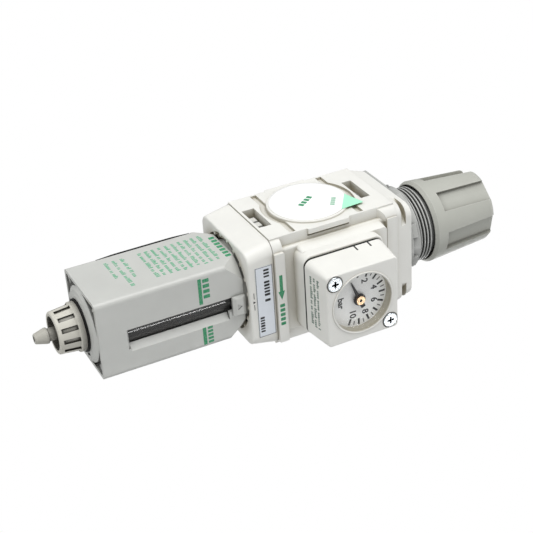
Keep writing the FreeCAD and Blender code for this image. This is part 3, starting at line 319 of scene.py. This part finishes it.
FINISHES = {
    # each moulding's second colour is the painted shade it takes in corners and recesses
    "white_body": moulded_plastic("white_plastic", (0.775, 0.772, 0.738), (0.40, 0.37, 0.29), reach=4.0),
    # painted shade: near black deep in the guard's own pockets and corners
    "guard_grey": moulded_plastic("guard_plastic", (0.535, 0.542, 0.52), (0.02, 0.019, 0.016), rough=0.33,
                                  reach=4.5, full_shade_at=0.45, no_shade_at=0.72, own_shape=True),
    # painted highlight: bright flute edges on the knob, partly wear
    "knob_grey": moulded_plastic("knob_plastic", (0.435, 0.44, 0.40), (0.14, 0.135, 0.11),
                                 grain=0.3, grain_depth=0.02, edge_highlight_and_wear=0.32),
    # painted shade: near black inside the drain's cup and grooves
    "drain_grey": moulded_plastic("drain_plastic", (0.59, 0.575, 0.515), (0.03, 0.027, 0.02), rough=0.45,
                                  reach=4.5, full_shade_at=0.55),
    # painted highlight along the thread's edges, partly wear
    "light_grey_plastic": moulded_plastic("bonnet_plastic", (0.43, 0.435, 0.42), (0.03, 0.03, 0.028),
                                          rough=0.25, grain_depth=0.006, edge=0.12, reach=2.4,
                                          edge_highlight_and_wear=0.3),
    "label_film": printed_film("label_film", (0.72, 0.76, 0.82)),
    "smoked_bowl": smoked_plastic("smoked_bowl"),
    "clear_lens": clear_plastic("gauge_window"),
    "translucent_plastic": translucent("natural_nylon", (0.62, 0.63, 0.62)),
    "black_rubber": rubber("black_rubber"),
    "dial_white": printed_film("dial_paint", (0.97, 0.975, 0.965), rough=0.5),
    "dial_black": ink("black_paint", (0.012, 0.012, 0.014), rough=0.4, patchy=0.02),
    "brass": metal("brass", (0.85, 0.60, 0.38), 0.28),
    "zinc_steel": metal("bright_zinc", (0.70, 0.74, 0.77), 0.26),
    "spring_steel": metal("spring_wire", (0.52, 0.53, 0.55), 0.32, stretch=(1, 1, 6)),
    "aluminium_plate": metal("aluminium", (0.78, 0.79, 0.80), 0.34),
    "sintered_element": sintered("sintered_beads", (0.82, 0.81, 0.77)),
}
NODE_FINISHES = {
    "rail_clips": clip_plastic("catch_plastic"),
    # painted shade: the drain's plastic colour scaled to three quarters, for the stem deep in its cup
    "drain_stem": moulded_plastic("stem_painted_shade_plastic", (0.44, 0.43, 0.385), (0.05, 0.046, 0.036), rough=0.45,
                                  reach=4.5),
}
GREEN = ink("green_ink", (0.010, 0.25, 0.10))
SOFT_GREEN = ink("soft_green_ink", (0.06, 0.36, 0.18), patchy=0.2)
DARK_GREEN = ink("dark_green_ink", (0.010, 0.085, 0.045))
BLACK = ink("black_ink", (0.012, 0.013, 0.015), patchy=0.04)
PAPER = printed_film("seal_paper", (0.93, 0.935, 0.93), rough=0.6, fibre=0.01)
MINT = printed_film("mint_paper", (0.40, 0.86, 0.60), rough=0.6, fibre=0.01)


# ---- mesh helpers ----------------------------------------------------------------
def mesh_from(bm, name, smooth):
    bmesh.ops.recalc_face_normals(bm, faces=bm.faces)
    mesh = bpy.data.meshes.new(name)
    bm.to_mesh(mesh)
    bm.free()
    if smooth:
        for polygon in mesh.polygons:
            polygon.use_smooth = True
    return mesh


def new_piece(name, bm, body, slot, *materials, smooth=False):
    """Turns a finished bmesh into a piece that rides on body and takes the given materials; slot is not
    used.
    """
    mesh = mesh_from(bm, name, smooth)
    piece = bpy.data.objects.new(name, mesh)
    bpy.context.scene.collection.objects.link(piece)
    for material in materials:
        mesh.materials.append(material)
    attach(piece, body)
    return piece


class Sheet:
    """A flat place on the object: marks are drawn in mm about its origin."""

    def __init__(self, origin, right, up):
        self.origin = Vector(origin)
        self.right = Vector(right)
        self.up = Vector(up)
        self.out = self.right.cross(self.up)

    def at(self, u, v, proud):
        return self.origin + (self.right * u + self.up * v + self.out * proud) * MM


def facing_front(x, y, z=0.0):
    """A sheet that faces -Y, with u along +X and v along +Z."""
    return Sheet((x, y, z), (1, 0, 0), (0, 0, 1))


def facing_inlet(x, y):
    """A sheet that faces -X, with u along -Y and v along +Z."""
    return Sheet((x, y, 0.0), (0, -1, 0), (0, 0, 1))


def flat(_u, _v):
    """Lift of a mark that lies straight on its sheet."""
    return 0.0


def add_plate(bm, sheet, outline, proud=INK, lift=flat):
    """A thin closed plate with an outline of (u, v) points, on a surface that lift raises off its sheet."""
    back = [bm.verts.new(sheet.at(u, v, lift(u, v) - SINK)) for u, v in outline]
    front = [bm.verts.new(sheet.at(u, v, lift(u, v) + proud)) for u, v in outline]
    bm.faces.new(front)
    bm.faces.new(back[::-1])
    for i in range(len(outline)):
        j = (i + 1) % len(outline)
        bm.faces.new((back[i], back[j], front[j], front[i]))


def pill(u, v, width, height, round_share, steps=4):
    """Outline of a bar centred on (u, v) with rounded ends."""
    radius = min(width, height) / 2 * round_share
    points = []
    for su, sv, start in ((1, 1, 0), (-1, 1, 90), (-1, -1, 180), (1, -1, 270)):
        cu = u + su * (width / 2 - radius)
        cv = v + sv * (height / 2 - radius)
        for k in range(steps + 1):
            a = math.radians(start + 90 * k / steps)
            points.append((cu + radius * math.cos(a), cv + radius * math.sin(a)))
    return points


def turned_outline(points, angle):
    c = math.cos(angle)
    s = math.sin(angle)
    return [(u * c - v * s, u * s + v * c) for u, v in points]


def moved_outline(points, du, dv):
    return [(u + du, v + dv) for u, v in points]


def stroke_row(count, pitch, v, width, height, angle):
    """Outlines of a row of strokes, centred on u = 0 and then turned about the origin."""
    starts = [pitch * (k - (count - 1) / 2) for k in range(count)]
    return [turned_outline(pill(u, v, width, height, 0.35), angle) for u in starts]


def greek(rng, left, right, pitch, height):
    """(centre, width, height) of small strokes, grouped along a line like words."""
    strokes = []
    u = left
    while u < right - pitch:
        for _ in range(rng.randint(2, 7)):
            if u + pitch > right:
                break
            width = pitch * rng.uniform(0.5, 0.78)
            strokes.append((u + pitch / 2, width, height * rng.choice((0.7, 0.7, 1.0))))
            u += pitch
        u += pitch * 0.8
    return strokes


def add_greek(bm, sheet, rng, left, right, v, pitch, height, proud=INK):
    for u, width, tall in greek(rng, left, right, pitch, height):
        add_plate(bm, sheet, pill(u, v + (tall - height) / 2, width, tall, 0.5, 2), proud)


def add_blocks(bm, sheet, left, right, v, count, height):
    """Plain blocks where the object has a short word."""
    pitch = (right - left) / count
    for k in range(count):
        add_plate(bm, sheet, pill(left + pitch * (k + 0.5), v, pitch * 0.66, height, 0.35))


def add_skin(bm, rows):
    """Quads from each row of vertices to the next; every row closes on itself."""
    for row, after in zip(rows, rows[1:]):
        for k in range(len(row)):
            m = (k + 1) % len(row)
            bm.faces.new((row[k], row[m], after[m], after[k]))


def add_ring(bm, sheet, profile, steps):
    """A closed ring: (radius, proud) points in mm, turned about the sheet's origin."""
    rings = []
    for i in range(steps):
        a = 2 * math.pi * i / steps
        c = math.cos(a)
        s = math.sin(a)
        rings.append([bm.verts.new(sheet.at(r * c, r * s, out)) for r, out in profile])
    add_skin(bm, rings + rings[:1])


# ---- camera, light and stage ------------------------------------------------------
def make_camera():
    a = math.radians(CAMERA_AZIMUTH)
    e = math.radians(CAMERA_ELEVATION)
    r = math.radians(CAMERA_ROLL)
    back = Vector((math.sin(a) * math.cos(e), -math.cos(a) * math.cos(e), math.sin(e)))
    level = Vector((math.cos(a), math.sin(a), 0))
    rise = back.cross(level)
    right = level * math.cos(r) + rise * math.sin(r)
    up = rise * math.cos(r) - level * math.sin(r)
    data = bpy.data.cameras.new("camera")
    data.lens = CAMERA_LENS
    data.sensor_width = CAMERA_SENSOR
    data.clip_start = 0.02
    data.clip_end = 20.0
    camera = bpy.data.objects.new("camera", data)
    turn = Matrix((right, up, back)).transposed().to_4x4()
    eye = Vector(CAMERA_AIM) * MM + back * CAMERA_DISTANCE * MM
    camera.matrix_world = Matrix.Translation(eye) @ turn
    bpy.context.scene.collection.objects.link(camera)
    bpy.context.scene.camera = camera


def soft_light(name, place, size, watts, colour=(1, 1, 1), height=None):
    """A soft box at place (mm), size m wide and square unless given a height, facing the object."""
    data = bpy.data.lights.new(name, "AREA")
    data.shape = "RECTANGLE"
    data.size = size
    data.size_y = height or size
    data.energy = watts
    data.color = colour
    lamp = bpy.data.objects.new(name, data)
    lamp.location = Vector(place) * MM
    aim = Vector(CAMERA_AIM) * MM - lamp.location
    lamp.rotation_euler = aim.to_track_quat("-Z", "Y").to_euler()
    bpy.context.scene.collection.objects.link(lamp)


def make_world():
    """White where the camera sees past the object, and a dimmer, slightly cool light on it."""
    world = bpy.data.worlds.new("studio")
    world.use_nodes = True
    tree = world.node_tree
    seen = tree.nodes["Background"]
    seen.inputs["Color"].default_value = (1, 1, 1, 1)
    seen.inputs["Strength"].default_value = 1.0
    lit = tree.nodes.new("ShaderNodeBackground")
    lit.inputs["Color"].default_value = (0.97, 0.985, 1.0, 1)
    lit.inputs["Strength"].default_value = WORLD_STRENGTH
    path = tree.nodes.new("ShaderNodeLightPath")
    pick = tree.nodes.new("ShaderNodeMixShader")
    tree.links.new(path.outputs["Is Camera Ray"], pick.inputs["Fac"])
    tree.links.new(lit.outputs["Background"], pick.inputs[1])
    tree.links.new(seen.outputs["Background"], pick.inputs[2])
    tree.links.new(pick.outputs["Shader"], tree.nodes["World Output"].inputs["Surface"])
    bpy.context.scene.world = world
    bpy.context.scene.view_settings.view_transform = "Standard"


def make_floor():
    """A pale round floor with a gently dished rim, under the object."""
    bm = bmesh.new()
    z = CAD_LOW.z - FLOOR_DROP * MM
    rings = [(0.6, 0.0), (1.0, 0.0), (1.4, 0.02), (1.8, 0.09), (2.2, 0.22)]      # (radius, lift), metres
    steps = 64
    angles = [2 * math.pi * i / steps for i in range(steps)]
    rows = [[bm.verts.new((STEM.x + radius * math.cos(a), radius * math.sin(a), z + lift)) for a in angles]
            for radius, lift in rings]
    bm.faces.new(rows[0])
    for inner, outer in zip(rows, rows[1:]):
        for i in range(steps):
            j = (i + 1) % steps
            bm.faces.new((inner[i], outer[i], outer[j], inner[j]))
    mesh = mesh_from(bm, "floor", smooth=True)
    floor = bpy.data.objects.new("floor", mesh)
    mesh.materials.append(stage_paint("floor_paint", (0.86, 0.86, 0.85)))
    bpy.context.scene.collection.objects.link(floor)


# ---- the paper seal over the inlet port ----------------------------------------------
def port_seal():
    """Round paper seal with a mint pull tab, slightly dished over the port mouth."""
    radius = 12.8
    tab_angle = math.radians(124)         # from +Y towards +Z
    tab_half = math.radians(24.5)         # half of the rim that the tab takes up
    tab_tip = 18.0                        # from the port's axis
    tip_half = 0.25                       # half the width of the blunt tip
    chord = radius * math.cos(tab_half)
    stand_off = 0.10                      # paper above the port's face
    dish = 0.16                           # sag in the middle of the mouth
    droop_rate = 0.035 / 4                # of the tab, towards the body
    wave_height = 0.03                    # three slack waves at the rim
    steps = 24                            # across the tab
    rest = 120                            # round the rest of the rim
    rows = 10                             # along the tab
    face = facing_inlet(BODY_LOW.x, STEM.y)

    def lift(u, v):
        r = math.hypot(u, v)
        sag = dish * max(0.0, 1 - (r / PORT_R) ** 2) ** 0.5
        along = -u * math.cos(tab_angle) + v * math.sin(tab_angle)
        droop = droop_rate * max(0.0, along - chord) ** 1.5
        wave = wave_height * math.sin(3 * math.atan2(v, u)) * (r / radius) ** 4
        return stand_off - sag - droop + wave

    def point(bm, angle, r):
        u = -r * math.cos(angle)
        v = r * math.sin(angle)
        return bm.verts.new(face.at(u, v, lift(u, v)))

    bm = bmesh.new()
    rim = [tab_angle - tab_half + 2 * tab_half * k / steps for k in range(steps)]
    rim += [tab_angle + tab_half + (2 * math.pi - 2 * tab_half) * k / rest for k in range(rest)]
    reach = [chord / math.cos(a - tab_angle) for a in rim[:steps]] + [radius] * rest
    shares = [0.12, 0.25, 0.36, 0.44, 0.455, 0.5, 0.65, 0.8, 0.92, 1.0]
    rings = [[point(bm, a, r * share) for a, r in zip(rim, reach)] for share in shares]
    centre = point(bm, 0.0, 0.0)
    count = len(rim)
    for i in range(count):
        j = (i + 1) % count
        bm.faces.new((centre, rings[0][i], rings[0][j]))
        for inner, outer in zip(rings, rings[1:]):
            bm.faces.new((inner[i], outer[i], outer[j], inner[j]))
    # the tab runs on from the chord to a blunt tip
    previous = rings[-1][:steps + 1]
    half_width = radius * math.sin(tab_half)
    for row in range(1, rows + 1):
        share = row / rows
        along = chord + (tab_tip - chord) * share
        half = half_width * (1 - share) + tip_half * share
        line = []
        for k in range(steps + 1):
            across = half * (2 * k / steps - 1)
            angle = tab_angle + math.atan2(across, along)
            line.append(point(bm, angle, math.hypot(along, across)))
        for k in range(steps):
            made = bm.faces.new((previous[k], line[k], line[k + 1], previous[k + 1]))
            made.material_index = 1
        previous = line
    seal = new_piece("port_seal", bm, "housing", "label_film", PAPER, MINT, smooth=True)
    thick = seal.modifiers.new("paper", "SOLIDIFY")
    thick.thickness = 0.09 * MM
    thick.offset = -1.0

    bm = bmesh.new()
    for stroke in stroke_row(4, 1.9, 0.0, 1.35, 1.9, math.radians(126)):
        add_plate(bm, face, moved_outline(stroke, -0.5, -0.5), lift=lift)
    new_piece("seal_print", bm, "housing", "label_film", GREEN)
    bm = bmesh.new()
    for stroke in stroke_row(4, 1.4, 8.4, 0.85, 1.5, math.pi / 2 - tab_angle):
        add_plate(bm, face, stroke, lift=lift)
    new_piece("tab_print", bm, "housing", "label_film", SOFT_GREEN)


# ---- thread in the open port -----------------------------------------------------------
def port_thread():
    """Ridges of the pipe thread in the outlet, one long helix that fades at both ends."""
    depth = 9.0                           # of the threaded length
    start = 0.9                           # from the body's face to the first ridge
    height = 0.42
    buried = 0.03                         # how far a ridge's foot lies in the wall
    steps = 48                            # to a turn
    fade = 14.0                           # steps over which an end fades
    count = int(steps * depth / THREAD_PITCH)
    section = [(-0.5, False), (-0.1, True), (0.1, True), (0.5, False)]           # (along X, on the crest)
    bm = bmesh.new()
    rows = []
    for i in range(count + 1):
        a = 2 * math.pi * i / steps
        x = BODY_HIGH.x - (start + THREAD_PITCH * i / steps) * MM
        rise = height * min(1.0, i / fade, (count - i) / fade)
        row = []
        for along, crest in section:
            r = (PORT_R - rise if crest else PORT_R + buried) * MM
            row.append(bm.verts.new((x + along * MM, STEM.y + r * math.cos(a), r * math.sin(a))))
        rows.append(row)
    add_skin(bm, rows)
    bm.faces.new(rows[0])
    bm.faces.new(rows[-1][::-1])
    new_piece("outlet_thread", bm, "housing", "white_body", FINISHES["white_body"], smooth=True)


# ---- marks on the bowl guard ----------------------------------------------------------
def guard_marks():
    """Level lines beside the sight slot, and lines of greeked text on the side face."""
    level_lines = ((-7.4, -45.6, 9.2), (9.05, -45.4, 6.3))                       # (u, v, length)
    level_words = ((-11.9, -4.3, -43.5, 4, 2.2), (5.7, 12.2, -43.4, 5, 1.8))     # as add_blocks takes them
    line_thick = 1.2
    face = facing_front(STEM.x, GUARD_FRONT_Y)
    bm = bmesh.new()
    for u, v, length in level_lines:
        add_plate(bm, face, pill(u, v, length, line_thick, 0.15))
    for word in level_words:
        add_blocks(bm, face, *word)
    new_piece("level_marks", bm, "bowl", "guard_grey", GREEN)

    side = facing_inlet(GUARD_SIDE_X, STEM.y)
    bm = bmesh.new()
    add_blocks(bm, side, -6.4, 8.5, -32.6, 7, 1.9)
    new_piece("guard_heading", bm, "bowl", "guard_grey", GREEN)
    rng = random.Random(11)
    left = -9.0
    full_right = 8.7                      # where a full line ends
    first = -35.9
    pitch = 2.28
    lines = [(first - pitch * k, full_right) for k in range(10)]
    lines += [(-62.4, 4.6), (-65.1, 8.8), (-67.8, 2.5)]
    bm = bmesh.new()
    for v, right in lines:
        add_greek(bm, side, rng, left, right, v, 0.8, 1.35)
    new_piece("guard_text_bars", bm, "bowl", "guard_grey", SOFT_GREEN)


def window_trim():
    """Thin black bead along the edge of the rear window, where it meets the side face: painted shade, a
    dark line standing in for the shade along that edge.
    """
    edge_y = STEM.y + 12.6 * MM
    low_z = -69.6
    high_z = -37.2
    inset_x = 0.34                        # of the bead's axis behind the side face
    inset_y = 0.3
    radius_x = 0.42
    radius_y = 0.44
    end_share = 0.25                      # of the full radius, at the two ends
    end_slope = 4.0
    rows = 24
    sides = 8
    bm = bmesh.new()
    rings = []
    for i in range(rows + 1):
        z = (low_z + (high_z - low_z) * i / rows) * MM
        share = min(1.0, end_slope * i / rows + end_share, end_slope * (rows - i) / rows + end_share)
        ring = []
        for k in range(sides):
            a = 2 * math.pi * k / sides
            x = GUARD_SIDE_X + (inset_x + radius_x * share * math.cos(a)) * MM
            y = edge_y + (inset_y + radius_y * share * math.sin(a)) * MM
            ring.append(bm.verts.new((x, y, z)))
        rings.append(ring)
    add_skin(bm, rings)
    bm.faces.new(rings[0][::-1])
    bm.faces.new(rings[-1])
    new_piece("window_trim", bm, "bowl", "black_rubber", FINISHES["black_rubber"], smooth=True)


# ---- label, collar and strip -------------------------------------------------------------
def label_marks():
    """Greeked print and a fine border on the label, and the lock line on the collar."""
    face = facing_front(STEM.x, LABEL_LOW.y)
    rng = random.Random(4)
    bm = bmesh.new()
    # (left, right, v, pitch, tall)
    lines = ((-11.2, 1.8, -24.5, 1.15, 1.9), (6.0, 12.8, -26.8, 1.0, 1.5))
    for left, right, v, pitch, tall in lines:
        for u, width, _ in greek(rng, left, right, pitch, tall):
            add_plate(bm, face, pill(u, v, width, tall, 0.4, 2))
    left, right = [(x - STEM.x) / MM for x in (LABEL_LOW.x, LABEL_HIGH.x)]
    low, high = LABEL_LOW.z / MM, LABEL_HIGH.z / MM
    line = 0.14                           # of the border: its width, and its distance from the edge
    short = 0.1                           # each side stops this much short
    for v in (low + line, high - line):
        add_plate(bm, face, pill((left + right) / 2, v, right - left - short, line, 0.2, 1))
    for u in (left + line, right - line):
        add_plate(bm, face, pill(u, (low + high) / 2, line, high - low - short, 0.2, 1))
    new_piece("label_bars", bm, "housing", "label_film", BLACK)

    collar = facing_front(STEM.x, COLLAR_LOW.y)
    bm = bmesh.new()
    for u, width in ((-2.3, 2.2), (1.9, 2.0)):
        add_plate(bm, collar, pill(u, -29.15, width, 0.22, 0.3, 1))
    add_plate(bm, collar, [(-0.5, -29.5), (0.5, -29.5), (0.0, -28.7)])
    new_piece("lock_line", bm, "housing", "white_body", BLACK)


def flow_arrow():
    """Arrow in the direction of flow, with plain blocks behind it, on the lower strip."""
    face = facing_front(STEM.x, STRIP_LOW.y)
    v = -20.0
    half = 0.55                           # of the shaft's width
    head = 1.15                           # half of the head's width
    tail = -7.7
    neck = -1.8
    tip = 1.3
    corners = [(tail, half), (neck, half), (neck, head)]      # (u, distance from the middle line)
    outline = [(u, v - off) for u, off in corners]
    outline.append((tip, v))
    outline += [(u, v + off) for u, off in corners[::-1]]
    bm = bmesh.new()
    add_plate(bm, face, outline)
    add_blocks(bm, face, 2.6, 11.1, v, 5, 1.7)
    new_piece("flow_arrow", bm, "housing", "white_body", GREEN)


# ---- gauge ------------------------------------------------------------------------------
def gauge_scale():
    """A mark for each half bar, a figure for every second bar, and the unit."""
    whole_bar = (7.5, 9.7, 0.66)          # (from, to, width) of a mark
    half_bar = (8.2, 9.6, 0.32)
    centre = (DIAL_LOW + DIAL_HIGH) / 2
    face = facing_front(centre.x, DIAL_LOW.y, centre.z)
    bm = bmesh.new()
    for k in range(2 * FULL_SCALE + 1):
        low, high, width = half_bar if k % 2 else whole_bar
        outline = pill(0.0, (low + high) / 2, width, high - low, 0.1, 2)
        add_plate(bm, face, turned_outline(outline, -ZERO_CLOCK - CLOCK_PER_BAR * k / 2), 0.02)
    new_piece("dial_ticks", bm, "housing", "dial_black", BLACK)

    figures = []                          # (text, size, clock angle, radius)
    for n in range(2, FULL_SCALE + 1, 2):
        r = 6.1 if n < 10 else 5.7        # two digits sit further in
        figures.append((str(n), 3.1, ZERO_CLOCK + CLOCK_PER_BAR * n, r))
    figures.append(("bar", 2.9, math.pi, 6.3))
    bm = bmesh.new()
    for text, size, clock, r in figures:
        add_text(bm, text, size, face, r * math.sin(clock), r * math.cos(clock))
    new_piece("dial_numbers", bm, "housing", "dial_black", BLACK)


def hub_mark():
    """Punched ring in the middle of the brass hub."""
    low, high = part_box("gauge_hub")
    face = facing_front(STEM.x, low.y, (low.z + high.z) / 2)
    profile = [(0.12, -0.05), (0.5, -0.05), (0.5, 0.02), (0.4, 0.05), (0.12, 0.05)]
    bm = bmesh.new()
    add_ring(bm, face, profile, 24)
    new_piece("hub_mark", bm, "needle", "dial_black", BLACK, smooth=True)


def add_text(bm, text, size, sheet, u, v):
    """Plain figures, centred on (u, v), as thin solid letters."""
    curve = bpy.data.curves.new("figure", "FONT")
    curve.body = text
    curve.size = size
    curve.extrude = 0.02                  # mm, as are the size and the bevel
    curve.bevel_depth = 0.07              # thickens the strokes and keeps the counters open
    curve.bevel_resolution = 0
    curve.align_x = "CENTER"
    curve.align_y = "CENTER"
    holder = bpy.data.objects.new("figure", curve)
    bpy.context.scene.collection.objects.link(holder)
    bpy.context.view_layer.update()
    depsgraph = bpy.context.evaluated_depsgraph_get()
    mesh = bpy.data.meshes.new_from_object(holder.evaluated_get(depsgraph))
    for vertex in mesh.vertices:
        vertex.co = sheet.at(u + vertex.co.x, v + vertex.co.y, vertex.co.z)
    bm.from_mesh(mesh)
    bpy.data.objects.remove(holder)
    bpy.data.meshes.remove(mesh)
    bpy.data.curves.remove(curve)


def gauge_marks():
    """Two set marks beside the gasket and blank lines on the side of the gauge."""
    depth = 11.5                          # of the housing, over which its walls draw in
    slant = math.atan2(0.9, depth)        # of the inlet side
    tilt = math.atan2(1.6, depth)         # of the under side
    low, high = GAUGE_LOW, GAUGE_HIGH
    middle = (low + high) / 2
    side = Sheet((low.x, high.y, middle.z), (math.sin(slant), -math.cos(slant), 0), (0, 0, 1))
    bm = bmesh.new()
    for v in (3.6, 8.5):
        add_plate(bm, side, pill(0.9, v, 3.1, 0.5, 0.2), 0.06)
    new_piece("set_marks", bm, "housing", "dial_black", BLACK)

    under = Sheet((middle.x, high.y, low.z), (1, 0, 0), (0, -math.cos(tilt), math.sin(tilt)))
    rng = random.Random(7)
    bm = bmesh.new()
    for v in (3.1, 4.9, 6.7):
        add_greek(bm, under, rng, -9.8, 8.8, v, 0.75, 1.2, 0.05)
    new_piece("gauge_text_bars", bm, "housing", "white_body", DARK_GREEN)


make_camera()
make_world()
make_floor()
soft_light("key", (-560, -120, 90), 0.45, 3.0, (1.0, 0.995, 0.985))
soft_light("front", (80, -620, 60), 0.6, 0.3)
soft_light("strip", (300, -386, 127), 0.025, 0.34, height=0.5)
soft_light("low", (-420, -60, -200), 0.3, 0.15)
soft_light("rim", (420, 380, 260), 0.5, 1.2)
soft_light("top", (20, -60, 620), 0.6, 1.15)

SLOT_OF = {row["node"]: row["material_slot"] for row in frame["record"]["subparts"]}
for name, part in frame["nodes"].items():
    part.data.materials.clear()
    part.data.materials.append(NODE_FINISHES.get(name) or FINISHES[SLOT_OF[name]])

port_seal()
port_thread()
guard_marks()
window_trim()
label_marks()
flow_arrow()
gauge_scale()
hub_mark()
gauge_marks()
